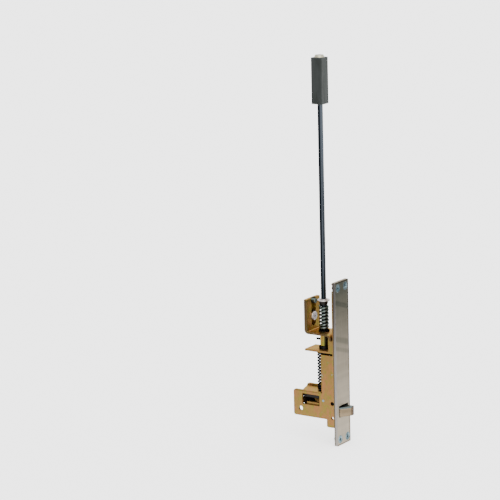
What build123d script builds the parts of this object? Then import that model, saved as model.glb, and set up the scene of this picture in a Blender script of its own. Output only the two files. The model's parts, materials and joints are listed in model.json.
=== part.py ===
from build123d import *
import os
from math import asin, atan2, cos, pi, sin, sqrt

# Automatic flush bolt for the edge of a door leaf, with its bolt pointing up.
# Pressing the trigger turns the bell crank, which lifts the push sleeve, the slide bracket and the rod.
# Millimetres. The origin is the centre of the faceplate on its back face.
# +Z runs to the bolt's end, +Y into the door and +X to the right of someone who looks at the faceplate.

os.makedirs("parts", exist_ok=True)

# Faceplate
face_width = 25.4
face_height = 171.45
face_thickness = 3.6
face_corner = 0.5

# Faceplate screws
screw_end_margin = 6.35
screw_spread = 14.4
screw_radius = 2.08
screw_neck_radius = 2.3
screw_head_radius = 4.2
screw_head_height = 2.5
screw_length = 6.35
screw_recess_length = 4.6
screw_recess_width = 0.95
screw_recess_depth = 1.4

# Case sheet metal
sheet = 2.4
case_half_width = 10.5
bend_radius = 3.2
bend_inner_radius = 0.5
strip_depth = 16.2
strip_top = 8.5
housing_depth = 50.3
far_depth = 45.6
far_strip_top = 10.2
housing_top = -31.5
housing_rear_drop = 0.3
housing_bottom = -59.3
housing_corner = 2.4
lug_depth = 10.4
lug_bottom = -67.5
lug_corner = 1.6
web_top = 84.2

# Window, holes and notches in the case
window_front = 19.0
window_back = 39.7
window_top = -35.4
window_bottom = -46.6
window_corner = 0.9
window_lip_front = 21.0
window_lip_back = 35.5
window_lip_reach = 3.4
window_lip_top = -44.0
window_lip_height = 4.0
case_bore_radius = 2.45
case_bore_y = 41.8
case_bore_z = -51.6
bend_hole_radius = 2.0
bend_hole_y = 3.6
bend_hole_z = -42.0
foot_hole_radius = 1.4
foot_hole_z = -57.3
relief_radius = 0.9
screw_notch_radius = 3.4

# Top cover flange and the far plate's lip above it
cover_near_depth = 20.4
cover_far_depth = 25.4
cover_front_gap = 3.2
cover_bend_radius = 1.6
far_lip = 2.0
tab_height = 8.0
lower_tab_z = -62.0
middle_tab_z = -20.0
upper_tab_z = 2.0

# Lower guide bracket
guide_leg_thickness = 4.8
guide_step_z = 24.0
guide_leg_top = 27.5
flange_thickness = 2.0
bracket_bend_radius = 4.4
bracket_inner_radius = 1.0
guide_corner_radius = 0.8
guide_flange_bottom = 10.6
guide_flange_depth = 35.4
guide_rivet_radius = 1.6
guide_rivet_head_radius = 2.6
guide_rivet_head_height = 1.1
guide_rivet_spread = 10.0
guide_rivet_z = 20.5

# Slide bracket
slide_half_width = 12.7
slide_flange_bottom = 29.0
slide_front = 2.8
slide_back = 34.2
slide_wall_top = 64.8
slide_wall_thickness = 3.4
slide_lip_bottom = 24.4
slide_lip_radius = 5.8
slide_corner = 0.8
slot_offset = 0.4
slot_width = 8.4
slot_bottom = 35.5

# Clamp plate, its screw and nut, and the guide stud
clamp_plate_thickness = 2.0
clamp_plate_half_width = 7.5
clamp_plate_bottom = 34.6
clamp_plate_top = 64.0
clamp_screw_z = 45.7
clamp_screw_radius = 2.0
clamp_head_radius = 4.7
clamp_head_height = 1.6
clamp_nut_flats = 7.0
clamp_nut_height = 2.2
stud_z = 61.6
stud_head_radius = 2.6
stud_head_height = 3.2
stud_radius = 1.2

# Rod and push sleeve
rod_setback = 18.2
rod_radius = 2.75
sleeve_radius = 4.3
sleeve_notch_gap = 0.8
stop_ring_radius = 5.6
stop_ring_height = 3.0
foot_radius = 2.6
foot_taper = 2.2
pin_radius = 1.1
pin_back_reach = 9.3
pin_front_reach = 5.2
pin_z = 22.1
rod_foot = 3.2

# Spring collar
collar_bottom = 58.8
collar_height = 5.4
collar_rim_radius = 6.4
collar_rim_height = 1.3
collar_neck_radius = 5.0
collar_toe_radius = 4.0
clip_radius = 4.3
clip_thickness = 0.8
clip_groove = 0.4

# Bolt head and tip
head_side = 12.7
head_bottom = 265.2
head_length = 46.9
head_chamfer = 0.5
rod_socket_depth = 18.0
tip_radius = 5.2
tip_end_radius = 4.2
tip_height = 2.3
tip_spigot_radius = 2.5
tip_spigot_length = 8.0

# Trigger
trigger_z = -50.9
trigger_height = 9.4
trigger_width = 15.0
trigger_reach = 8.0
trigger_nose_width = 4.4
trigger_back = 9.0
trigger_corner = 0.6
trigger_chamfer = 1.3
trigger_side_gap = 1.3
trigger_top_gap = 2.2
trigger_bottom_gap = 0.6
tail_thickness = 2.0
tail_riser_back = 19.0
tail_riser_bottom = -43.5
tail_bar_bottom = -39.2
tail_eye_radius = 2.7
guide_pin_y = 14.4
guide_pin_z = -40.1
guide_pin_radius = 1.3
guide_pin_head_radius = 2.3
guide_pin_head_height = 0.9
rivet_radius = 1.2
rivet_y = 6.0
rivet_spread = 4.4

# Bolt throw and bell crank
bolt_throw = 19.0
trigger_travel = 6.4
crank_reach = 23.5
pivot_z = -44.5
crank_thickness = 5.0
hub_radius = 4.0
nose_radius = 3.2
arm_end_radius = 1.9
eye_radius = 2.3
pivot_radius = 1.9
pivot_shoulder_radius = 3.0
pivot_head_radius = 2.8
pivot_head_height = 0.8
ring_radius = 3.3
ring_thickness = 0.8
crank_pin_radius = 1.4

# Springs
return_wire = 1.55
return_outer_radius = 7.8
return_turns = 11.0
override_wire = 2.1
override_outer_radius = 5.25
override_turns = 5.5
override_seat_radius = 5.6
override_seat_thickness = 1.4
seat_washer_radius = 7.7
seat_washer_thickness = 1.2
seat_ring_radius = 6.0
seat_ring_thickness = 0.9
seat_height = 0.4

# Clearances, all measured on one side
running = 0.08
seated = 0.03
play = 0.3
sheet_gap = 0.12

# Sizes that follow from the ones above
inner_half = case_half_width - sheet
face_front = -face_thickness
screw_pitch = face_height - 2 * screw_end_margin
swing_half = asin(bolt_throw / 2 / crank_reach)
crank_arm = trigger_travel / 2 / sin(swing_half)
pivot_y = rod_setback + crank_reach * (1 + cos(swing_half)) / 2
nose_y = pivot_y - crank_reach * cos(swing_half)
nose_z = pivot_z - bolt_throw / 2
crank_pin_y = pivot_y - trigger_travel / 2
crank_pin_z = pivot_z + crank_arm * cos(swing_half)
crank_pin_high = pivot_z + crank_arm
sleeve_foot = nose_z + nose_radius + play
seat_ring_bottom = housing_top + seat_height
seat_top = seat_ring_bottom + seat_ring_thickness + seat_washer_thickness
guide_flange_top = guide_flange_bottom + flange_thickness
slide_flange_top = slide_flange_bottom + flange_thickness
slide_wall_front = slide_back - slide_wall_thickness
slide_lip_back = slide_front + flange_thickness
leg_back = sheet + guide_leg_thickness
leg_step = slide_lip_back + play + sheet_gap
override_seat_top = slide_flange_top + override_seat_thickness
collar_top = collar_bottom + collar_height
head_top = head_bottom + head_length
rod_bottom = pin_z - pin_radius - rod_foot
rod_top = head_bottom + rod_socket_depth
sleeve_bore_bottom = rod_bottom - bolt_throw - play
trigger_bottom = trigger_z - trigger_height / 2
slot_half = trigger_width / 2 + trigger_side_gap
tail_outer = sheet_gap - inner_half
tail_inner = tail_outer + tail_thickness
tail_front = sheet + bend_inner_radius
tail_top = housing_top - sheet - play
cover_front = strip_depth + cover_front_gap
rear_top = housing_top - housing_rear_drop
axis_plane = Plane(origin=(0, rod_setback, 0))
front_plane = Plane.XZ.offset(face_thickness)


def level(height):
    """Plane across the rod's axis at a height, with the axis at its origin."""
    return axis_plane.offset(height)


def biarc(start, start_direction, end, end_direction):
    """Draw two arcs from start to end that keep to both directions."""
    chord = end - start
    turn = 1 - start_direction.dot(end_direction)
    along = chord.dot(start_direction + end_direction)
    reach = (sqrt(along**2 + 2 * turn * chord.dot(chord)) - along) / (2 * turn)
    first = start + start_direction * reach
    second = end - end_direction * reach
    TangentArc(start, (first + second) * 0.5, tangent=start_direction)
    TangentArc((first + second) * 0.5, end, tangent=(second - first).normalized())


def coil_line(mean_radius, wire, turns, low, high):
    """Centre line of a right-hand coil between two seats, whose ends stand square on the seats."""
    corner = 1.5 * wire
    rise = (high - low - 2 * (wire + corner)) / turns
    slope = atan2(rise, 2 * pi * mean_radius)
    base = low + wire + corner * cos(slope)
    rise = (high - low - 2 * (wire + corner * cos(slope))) / turns
    half_turns = round(2 * turns)

    def place(half_turn):
        angle = pi * half_turn
        return Vector(mean_radius * cos(angle), rod_setback + mean_radius * sin(angle), base + rise * half_turn / 2)

    def heading(half_turn):
        angle = pi * half_turn
        return Vector(-sin(angle) * cos(slope), cos(angle) * cos(slope), sin(slope))

    up = Vector(0, 0, 1)
    side_step = corner * (1 - sin(slope))
    flat_start = Vector(0, 1, 0)
    flat_end = Vector(0, cos(pi * half_turns), 0)
    foot = place(0) - flat_start * side_step - up * (corner * cos(slope))
    crown = place(half_turns) + flat_end * side_step + up * (corner * cos(slope))
    with BuildLine() as line:
        Line(foot - up * (foot.Z - low), foot)
        TangentArc(foot, place(0), tangent=up)
        for half_turn in range(half_turns):
            biarc(place(half_turn), heading(half_turn), place(half_turn + 1), heading(half_turn + 1))
        TangentArc(place(half_turns), crown, tangent=heading(half_turns))
        Line(crown, crown + up * (high - crown.Z))
    return line.wire()


def least_gap(path, wire, turns):
    """Least gap between neighbouring turns, measured on points along the line."""
    count = round(turns * 36)
    points = [path @ (index / count) for index in range(count + 1)]
    far_enough = round(count / turns * 0.6)
    gaps = []
    for index, point in enumerate(points):
        for other in points[index + far_enough:]:
            gaps.append((other - point).length - wire)
    return min(gaps)


# Faceplate
with BuildPart() as faceplate:
    with BuildSketch(Plane.XZ):
        Rectangle(face_width, face_height)
    extrude(amount=face_thickness)
    fillet(faceplate.edges().filter_by(Axis.Y), face_corner)
    with BuildSketch(Plane.XZ):
        with Locations((0, trigger_z + (trigger_top_gap - trigger_bottom_gap) / 2)):
            Rectangle(2 * slot_half, trigger_height + trigger_top_gap + trigger_bottom_gap)
    extrude(amount=face_thickness, mode=Mode.SUBTRACT)
    with Locations(front_plane):
        with GridLocations(screw_spread, screw_pitch, 2, 2):
            Cylinder(screw_neck_radius + seated, 3 * face_thickness, mode=Mode.SUBTRACT)
            Cone(
                screw_neck_radius + seated,
                screw_head_radius + seated,
                screw_head_height,
                align=(Align.CENTER, Align.CENTER, Align.MAX),
                mode=Mode.SUBTRACT,
            )

# Four flat-head faceplate screws
with BuildPart() as faceplate_screws:
    with Locations(front_plane):
        with GridLocations(screw_spread, screw_pitch, 2, 2):
            Cone(
                screw_neck_radius,
                screw_head_radius,
                screw_head_height,
                align=(Align.CENTER, Align.CENTER, Align.MAX),
            )
            Cylinder(screw_neck_radius, face_thickness, align=(Align.CENTER, Align.CENTER, Align.MAX))
            Cylinder(screw_radius, screw_length, align=(Align.CENTER, Align.CENTER, Align.MAX))
            for recess_size in ((screw_recess_length, screw_recess_width), (screw_recess_width, screw_recess_length)):
                Box(
                    *recess_size,
                    screw_recess_depth,
                    align=(Align.CENTER, Align.CENTER, Align.MAX),
                    mode=Mode.SUBTRACT,
                )

# Near side plate: web, side, cover flange and foot lug, bent from one sheet
with BuildPart() as near_side_plate:
    with BuildSketch(Plane.XY.offset(lug_bottom)) as bent_section:
        with Locations((-case_half_width, 0)):
            Rectangle(2 * case_half_width, sheet, align=(Align.MIN, Align.MIN))
            Rectangle(sheet, housing_depth, align=(Align.MIN, Align.MIN))
        fillet(bent_section.vertices().sort_by_distance((-case_half_width, 0))[0], bend_radius)
        fillet(bent_section.vertices().sort_by_distance((-inner_half, sheet))[0], bend_inner_radius)
    extrude(amount=strip_top - lug_bottom)
    with BuildSketch(Plane.YZ.offset(-case_half_width)) as side_outline:
        with BuildLine():
            Polyline(
                (0, lug_bottom),
                (lug_depth, lug_bottom),
                (lug_depth, housing_bottom),
                (housing_depth, housing_bottom),
                (housing_depth, rear_top),
                (cover_front + cover_near_depth, rear_top),
                (cover_front + cover_near_depth, housing_top),
                (strip_depth, housing_top),
                (strip_depth, strip_top),
                (0, strip_top),
                close=True,
            )
        make_face()
        fillet(side_outline.vertices().sort_by_distance((lug_depth, lug_bottom))[0], lug_corner)
        for corner_z in (housing_bottom, rear_top):
            fillet(side_outline.vertices().sort_by_distance((housing_depth, corner_z))[0], housing_corner)
    extrude(amount=2 * case_half_width, mode=Mode.INTERSECT)
    with BuildSketch(Plane.XZ):
        with Locations((0, strip_top)):
            Rectangle(2 * case_half_width, web_top - strip_top, align=(Align.CENTER, Align.MIN))
    extrude(amount=-sheet)
    with BuildSketch(Plane.XY.offset(housing_top)) as cover:
        with BuildLine():
            Polyline(
                (-case_half_width + sheet / 2, cover_front),
                (inner_half - seated, cover_front),
                (inner_half - seated, cover_front + cover_far_depth),
                (-case_half_width + sheet / 2, cover_front + cover_near_depth),
                close=True,
            )
        make_face()
    extrude(amount=-sheet)
    with BuildSketch(level(housing_top)):
        Circle(sleeve_radius + sleeve_notch_gap)
    extrude(amount=-sheet, mode=Mode.SUBTRACT)
    with BuildSketch(Plane.YZ.offset(-inner_half - sheet / 2)):
        with Locations((window_lip_front, window_lip_top)):
            Rectangle(window_lip_back - window_lip_front, window_lip_height, align=(Align.MIN, Align.MAX))
    extrude(amount=sheet / 2 + window_lip_reach)
    cover_edge = near_side_plate.edges().filter_by(Axis.Y).sort_by_distance(
        (-case_half_width, cover_front + cover_near_depth / 2, housing_top)
    )[0]
    fillet(cover_edge, cover_bend_radius)
    with BuildSketch(Plane.YZ.offset(-case_half_width)):
        with Locations(((window_front + window_back) / 2, (window_top + window_bottom) / 2)):
            RectangleRounded(window_back - window_front, window_top - window_bottom, window_corner)
        with Locations((case_bore_y, case_bore_z)):
            Circle(case_bore_radius)
        with Locations((bend_hole_y, bend_hole_z)):
            Circle(bend_hole_radius)
        with Locations((bend_hole_y, foot_hole_z)):
            Circle(foot_hole_radius)
        with Locations((strip_depth + relief_radius / 2, housing_top)):
            Circle(relief_radius)
        with Locations((guide_pin_y, guide_pin_z)):
            Circle(guide_pin_radius + seated)
    extrude(amount=sheet, mode=Mode.SUBTRACT)
    with BuildSketch(Plane.XZ):
        with Locations((0, trigger_z + (trigger_top_gap - trigger_bottom_gap) / 2)):
            Rectangle(2 * inner_half, trigger_height + trigger_top_gap + trigger_bottom_gap)
        for side in (-1, 1):
            with Locations((side * screw_spread / 2, screw_pitch / 2)):
                Circle(screw_notch_radius)
            with Locations((side * case_half_width, screw_pitch / 2)):
                Rectangle(2 * case_half_width - screw_spread, 2 * screw_notch_radius)
        with Locations((-guide_rivet_spread / 2, guide_rivet_z), (guide_rivet_spread / 2, guide_rivet_z)):
            Circle(guide_rivet_radius + seated)
        for tab_z in (lower_tab_z, middle_tab_z, upper_tab_z):
            with Locations((case_half_width - sheet / 2, tab_z)):
                Rectangle(sheet + 2 * seated, tab_height + 2 * seated)
    extrude(amount=-sheet - bend_inner_radius, mode=Mode.SUBTRACT)

# Far side plate, staked through slots in the web
with BuildPart() as far_side_plate:
    with BuildSketch(Plane.YZ.offset(inner_half)) as far_outline:
        with BuildLine():
            Polyline(
                (sheet, lug_bottom),
                (lug_depth, lug_bottom),
                (lug_depth, housing_bottom),
                (far_depth, housing_bottom),
                (far_depth, housing_top + far_lip),
                (strip_depth, housing_top + far_lip),
                (strip_depth, far_strip_top),
                (sheet, far_strip_top),
                close=True,
            )
        make_face()
        fillet(far_outline.vertices().sort_by_distance((lug_depth, lug_bottom))[0], lug_corner)
        for corner_z in (housing_bottom, housing_top + far_lip):
            fillet(far_outline.vertices().sort_by_distance((far_depth, corner_z))[0], housing_corner)
        for tab_z in (lower_tab_z, middle_tab_z, upper_tab_z):
            with Locations((0, tab_z)):
                Rectangle(2 * sheet, tab_height, align=(Align.MIN, Align.CENTER))
        with Locations((pivot_y, pivot_z)):
            Circle(pivot_radius + seated, mode=Mode.SUBTRACT)
    extrude(amount=sheet)

# Guide bracket: a thick leg on the web, stepped to clear the slide bracket, and a flange round the sleeve
with BuildPart() as guide_bracket:
    with BuildSketch(Plane.YZ.offset(-case_half_width)) as guide_section:
        with BuildLine():
            Polyline(
                (sheet, guide_flange_bottom),
                (guide_flange_depth, guide_flange_bottom),
                (guide_flange_depth, guide_flange_top),
                (leg_back, guide_flange_top),
                (leg_back, guide_leg_top),
                (leg_step, guide_leg_top),
                (leg_step, guide_step_z),
                (sheet, guide_step_z),
                close=True,
            )
        make_face()
        bends = (
            ((sheet, guide_flange_bottom), guide_corner_radius),
            ((leg_back, guide_flange_top), bracket_inner_radius),
            ((leg_step, guide_leg_top), leg_back - leg_step - seated),
        )
        for corner, radius in bends:
            fillet(guide_section.vertices().sort_by_distance(corner)[0], radius)
    extrude(amount=2 * case_half_width)
    with BuildSketch(level(guide_flange_bottom)):
        Circle(sleeve_radius + running)
    extrude(amount=flange_thickness, mode=Mode.SUBTRACT)
    with BuildSketch(Plane.XZ.offset(-sheet)):
        with Locations((-guide_rivet_spread / 2, guide_rivet_z), (guide_rivet_spread / 2, guide_rivet_z)):
            Circle(guide_rivet_radius + seated)
    extrude(amount=-guide_leg_thickness, mode=Mode.SUBTRACT)

# Two rivets that hold the guide bracket to the web
with BuildPart() as guide_rivets:
    rivet_places = Locations((-guide_rivet_spread / 2, guide_rivet_z), (guide_rivet_spread / 2, guide_rivet_z))
    with BuildSketch(Plane.XZ):
        with rivet_places:
            Circle(guide_rivet_radius)
    extrude(amount=-leg_back)
    with BuildSketch(Plane.XZ.offset(-leg_back)):
        with rivet_places:
            Circle(guide_rivet_head_radius)
    extrude(amount=-guide_rivet_head_height)
    fillet(
        guide_rivets.edges().filter_by(GeomType.CIRCLE).group_by(Axis.Y)[-1],
        guide_rivet_head_height / 2,
    )

# Rivet in the near side plate that guides the trigger's tail
with BuildPart() as trigger_guide_rivet:
    with BuildSketch(Plane.YZ.offset(-case_half_width)):
        with Locations((guide_pin_y, guide_pin_z)):
            Circle(guide_pin_radius)
    extrude(amount=tail_inner + sheet_gap + case_half_width)
    with BuildSketch(Plane.YZ.offset(tail_inner + sheet_gap)):
        with Locations((guide_pin_y, guide_pin_z)):
            Circle(guide_pin_head_radius)
    extrude(amount=guide_pin_head_height)

# Stud in the far side plate that carries the bell crank
with BuildPart() as crank_pivot:
    ring_outer = -crank_thickness / 2 - sheet_gap - ring_thickness
    with BuildSketch(Plane.YZ.offset(ring_outer - ring_thickness)):
        with Locations((pivot_y, pivot_z)):
            Circle(pivot_radius)
    extrude(amount=case_half_width - ring_outer + ring_thickness)
    with BuildSketch(Plane.YZ.offset(crank_thickness / 2 + sheet_gap)):
        with Locations((pivot_y, pivot_z)):
            Circle(pivot_shoulder_radius)
    extrude(amount=inner_half - crank_thickness / 2 - sheet_gap)
    with BuildSketch(Plane.YZ.offset(case_half_width)):
        with Locations((pivot_y, pivot_z)):
            Circle(pivot_head_radius)
    extrude(amount=pivot_head_height)
    with BuildSketch(Plane.YZ.offset(ring_outer)):
        with Locations((pivot_y, pivot_z)):
            Circle(pivot_radius)
            Circle(pivot_radius - clip_groove, mode=Mode.SUBTRACT)
    extrude(amount=ring_thickness, mode=Mode.SUBTRACT)

# Open retaining ring on the stud
with BuildPart() as crank_ring:
    with BuildSketch(Plane.YZ.offset(ring_outer + seated)):
        with Locations((pivot_y, pivot_z)):
            Circle(ring_radius)
            Circle(pivot_radius - clip_groove + seated, mode=Mode.SUBTRACT)
        with Locations((pivot_y, pivot_z)):
            Rectangle(
                ring_radius,
                2 * (pivot_radius - clip_groove),
                align=(Align.MIN, Align.CENTER),
                mode=Mode.SUBTRACT,
            )
    extrude(amount=ring_thickness - 2 * seated)

# Return spring between the guide flange and the seat washer
return_path = coil_line(
    return_outer_radius - return_wire / 2, return_wire, return_turns, seat_top, guide_flange_bottom
)
with BuildPart() as return_spring:
    with BuildSketch(Plane(origin=return_path @ 0, z_dir=return_path % 0)):
        Circle(return_wire / 2)
    sweep(path=return_path)
print("return spring: least gap", round(least_gap(return_path, return_wire, return_turns), 2), "mm")

# Slide bracket: flange round the sleeve, a slotted wall behind it and a front end that curves down
with BuildPart() as slide_bracket:
    with BuildSketch(Plane.YZ.offset(-slide_half_width)) as slide_section:
        with BuildLine():
            Polyline(
                (slide_front, slide_lip_bottom),
                (slide_lip_back, slide_lip_bottom),
                (slide_lip_back, slide_flange_bottom),
                (slide_back, slide_flange_bottom),
                (slide_back, slide_wall_top),
                (slide_wall_front, slide_wall_top),
                (slide_wall_front, slide_flange_top),
                (slide_front, slide_flange_top),
                close=True,
            )
        make_face()
        bends = (
            ((slide_back, slide_flange_bottom), bracket_bend_radius),
            ((slide_wall_front, slide_flange_top), bracket_inner_radius),
            ((slide_front, slide_flange_top), slide_lip_radius),
            ((slide_lip_back, slide_flange_bottom), slide_lip_radius - flange_thickness),
        )
        for corner, radius in bends:
            fillet(slide_section.vertices().sort_by_distance(corner)[0], radius)
    extrude(amount=2 * slide_half_width)
    fillet(slide_bracket.edges().filter_by(Axis.Y).group_by(Axis.Z)[-1], slide_corner)
    with BuildSketch(Plane.XZ.offset(-slide_back)):
        with Locations((slot_offset, slot_bottom + slot_width / 2)):
            Circle(slot_width / 2)
            Rectangle(slot_width, slide_wall_top - slot_bottom, align=(Align.CENTER, Align.MIN))
    extrude(amount=slide_wall_thickness, mode=Mode.SUBTRACT)
    with BuildSketch(level(slide_flange_bottom)):
        Circle(sleeve_radius + seated)
    extrude(amount=flange_thickness, mode=Mode.SUBTRACT)

# Clamp plate behind the slotted wall
with BuildPart() as clamp_plate:
    with BuildSketch(Plane.XZ.offset(-slide_back)):
        with Locations((slot_offset, clamp_plate_bottom)):
            Rectangle(
                2 * clamp_plate_half_width,
                clamp_plate_top - clamp_plate_bottom,
                align=(Align.CENTER, Align.MIN),
            )
        with Locations((slot_offset, clamp_screw_z)):
            Circle(clamp_screw_radius + seated, mode=Mode.SUBTRACT)
        with Locations((slot_offset, stud_z)):
            Circle(stud_radius + seated, mode=Mode.SUBTRACT)
    extrude(amount=-clamp_plate_thickness)
    fillet(clamp_plate.edges().filter_by(Axis.Y).filter_by(GeomType.LINE), slide_corner)

# Pan-head clamp screw through the slot
with BuildPart() as clamp_screw:
    with BuildSketch(Plane.XZ.offset(-slide_wall_front)):
        with Locations((slot_offset, clamp_screw_z)):
            Circle(clamp_head_radius)
    extrude(amount=clamp_head_height)
    fillet(clamp_screw.edges().group_by(Axis.Y)[0], clamp_head_height / 2)
    with BuildSketch(Plane.XZ.offset(-slide_wall_front)):
        with Locations((slot_offset, clamp_screw_z)):
            Circle(clamp_screw_radius)
    extrude(amount=-(slide_wall_thickness + clamp_plate_thickness + clamp_nut_height))
    with BuildSketch(Plane.XZ.offset(clamp_head_height - slide_wall_front)):
        with Locations((slot_offset, clamp_screw_z)):
            Rectangle(screw_recess_length, screw_recess_width)
            Rectangle(screw_recess_width, screw_recess_length)
    extrude(amount=-screw_recess_depth, mode=Mode.SUBTRACT)

# Hexagon nut behind the clamp plate
with BuildPart() as clamp_nut:
    with BuildSketch(Plane.XZ.offset(-slide_back - clamp_plate_thickness)):
        with Locations((slot_offset, clamp_screw_z)):
            RegularPolygon(clamp_nut_flats / 2, 6, major_radius=False)
            Circle(clamp_screw_radius + seated, mode=Mode.SUBTRACT)
    extrude(amount=-clamp_nut_height)

# Guide stud pressed into the clamp plate, with its head in the slot
with BuildPart() as guide_stud:
    with BuildSketch(Plane.XZ.offset(-slide_back - clamp_plate_thickness)):
        with Locations((slot_offset, stud_z)):
            Circle(stud_radius)
    extrude(amount=clamp_plate_thickness)
    with BuildSketch(Plane.XZ.offset(-slide_back)):
        with Locations((slot_offset, stud_z)):
            Circle(stud_head_radius)
    extrude(amount=slide_wall_thickness + stud_head_height)
    fillet(guide_stud.edges().group_by(Axis.Y)[0], stud_head_height / 4)

# Push sleeve: bored above for the rod, solid below, with a tapered foot on the crank's nose
with BuildPart() as push_sleeve:
    with BuildSketch(level(sleeve_foot + foot_taper)):
        Circle(sleeve_radius)
    extrude(amount=slide_flange_top - sleeve_foot - foot_taper)
    with BuildSketch(level(sleeve_foot)):
        Circle(foot_radius)
    with BuildSketch(level(sleeve_foot + foot_taper)):
        Circle(sleeve_radius)
    loft()
    with BuildSketch(level(sleeve_bore_bottom)):
        Circle(rod_radius + running)
    extrude(amount=slide_flange_top - sleeve_bore_bottom, mode=Mode.SUBTRACT)
    with BuildSketch(Plane.XZ):
        with Locations((0, pin_z)):
            Circle(pin_radius + seated)
    extrude(amount=-2 * rod_setback, mode=Mode.SUBTRACT)
    with BuildSketch(level(seat_ring_bottom - seated)):
        Circle(sleeve_radius)
        Circle(sleeve_radius - clip_groove, mode=Mode.SUBTRACT)
    extrude(amount=seat_ring_thickness + 2 * seated, mode=Mode.SUBTRACT)

# Ring fixed round the sleeve, which stops it on the guide flange
with BuildPart() as stop_ring:
    with BuildSketch(level(guide_flange_top + play)):
        Circle(stop_ring_radius)
        Circle(sleeve_radius + seated, mode=Mode.SUBTRACT)
    extrude(amount=stop_ring_height)
    chamfer(stop_ring.edges().group_by(Axis.Z)[-1].sort_by(SortBy.RADIUS)[-1], (stop_ring_radius - sleeve_radius) / 3)

# Cross pin through the sleeve, in the rod's long slot
with BuildPart() as cross_pin:
    with BuildSketch(Plane.XZ.offset(pin_front_reach - rod_setback)):
        with Locations((0, pin_z)):
            Circle(pin_radius)
    extrude(amount=-pin_front_reach - pin_back_reach)
    chamfer(cross_pin.edges(), pin_radius / 4)

# Washer and open ring that carry the return spring on the sleeve
with BuildPart() as seat_washer:
    with BuildSketch(level(seat_top - seat_washer_thickness)):
        Circle(seat_washer_radius)
        Circle(sleeve_radius + seated, mode=Mode.SUBTRACT)
    extrude(amount=seat_washer_thickness)

with BuildPart() as seat_ring:
    with BuildSketch(level(seat_ring_bottom)):
        Circle(seat_ring_radius)
        Circle(sleeve_radius - clip_groove + seated, mode=Mode.SUBTRACT)
        Rectangle(
            2 * (sleeve_radius - clip_groove),
            seat_ring_radius,
            align=(Align.CENTER, Align.MAX),
            mode=Mode.SUBTRACT,
        )
    extrude(amount=seat_ring_thickness)

# Washer under the override spring
with BuildPart() as override_seat:
    with BuildSketch(level(slide_flange_top)):
        Circle(override_seat_radius)
        Circle(rod_radius + play, mode=Mode.SUBTRACT)
    extrude(amount=override_seat_thickness)

# Override spring between its washer and the collar
override_path = coil_line(
    override_outer_radius - override_wire / 2, override_wire, override_turns, override_seat_top, collar_bottom
)
with BuildPart() as override_spring:
    with BuildSketch(Plane(origin=override_path @ 0, z_dir=override_path % 0)):
        Circle(override_wire / 2)
    sweep(path=override_path)
print("override spring: least gap", round(least_gap(override_path, override_wire, override_turns), 2), "mm")

# Bolt rod with the long slot that the cross pin runs in
with BuildPart() as rod:
    with BuildSketch(level(rod_bottom)):
        Circle(rod_radius)
    extrude(amount=rod_top - rod_bottom)
    chamfer(rod.edges(), clip_groove)
    with BuildSketch(Plane.XZ.offset(-rod_setback - rod_radius)):
        with Locations((0, pin_z + bolt_throw / 2)):
            SlotCenterToCenter(bolt_throw, 2 * (pin_radius + play / 2), rotation=90)
    extrude(amount=2 * rod_radius, mode=Mode.SUBTRACT)
    with BuildSketch(level(collar_top)):
        Circle(rod_radius)
        Circle(rod_radius - clip_groove, mode=Mode.SUBTRACT)
    extrude(amount=clip_thickness, mode=Mode.SUBTRACT)

# Spring collar: a cone that centres the spring on the rod
with BuildPart() as spring_collar:
    with BuildSketch(level(collar_bottom)):
        Circle(collar_toe_radius)
    with BuildSketch(level(collar_top - collar_rim_height)):
        Circle(collar_neck_radius)
    loft()
    with BuildSketch(level(collar_bottom)):
        Circle(rod_radius + seated)
    extrude(amount=collar_height, mode=Mode.SUBTRACT)

# Bright washer on the collar
with BuildPart() as collar_washer:
    with BuildSketch(level(collar_top - collar_rim_height)):
        Circle(collar_rim_radius)
        Circle(rod_radius + seated, mode=Mode.SUBTRACT)
    extrude(amount=collar_rim_height)
    chamfer(collar_washer.edges().filter_by(GeomType.CIRCLE).sort_by(SortBy.RADIUS)[-2:], collar_rim_height / 4)

# Open clip that holds the collar on the rod
with BuildPart() as collar_clip:
    with BuildSketch(level(collar_top + seated)):
        Circle(clip_radius)
        Circle(rod_radius - clip_groove + seated, mode=Mode.SUBTRACT)
        Rectangle(
            2 * (rod_radius - clip_groove),
            clip_radius,
            align=(Align.CENTER, Align.MIN),
            mode=Mode.SUBTRACT,
        )
    extrude(amount=clip_thickness - 2 * seated)

# Square bolt head with sockets for the rod and the tip
with BuildPart() as bolt_head:
    with BuildSketch(level(head_bottom)):
        Rectangle(head_side, head_side)
    extrude(amount=head_length)
    chamfer(bolt_head.edges(), head_chamfer)
    with BuildSketch(level(head_bottom)):
        Circle(rod_radius + seated)
    extrude(amount=rod_socket_depth + seated, mode=Mode.SUBTRACT)
    with BuildSketch(level(head_top)):
        Circle(tip_spigot_radius + seated)
    extrude(amount=-tip_spigot_length - seated, mode=Mode.SUBTRACT)

# Chamfered tip in the end of the head
with BuildPart() as bolt_tip:
    with BuildSketch(level(head_top - tip_spigot_length)):
        Circle(tip_spigot_radius)
    extrude(amount=tip_spigot_length)
    with BuildSketch(level(head_top)):
        Circle(tip_radius)
    with BuildSketch(level(head_top + tip_height)):
        Circle(tip_end_radius)
    loft()

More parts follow.
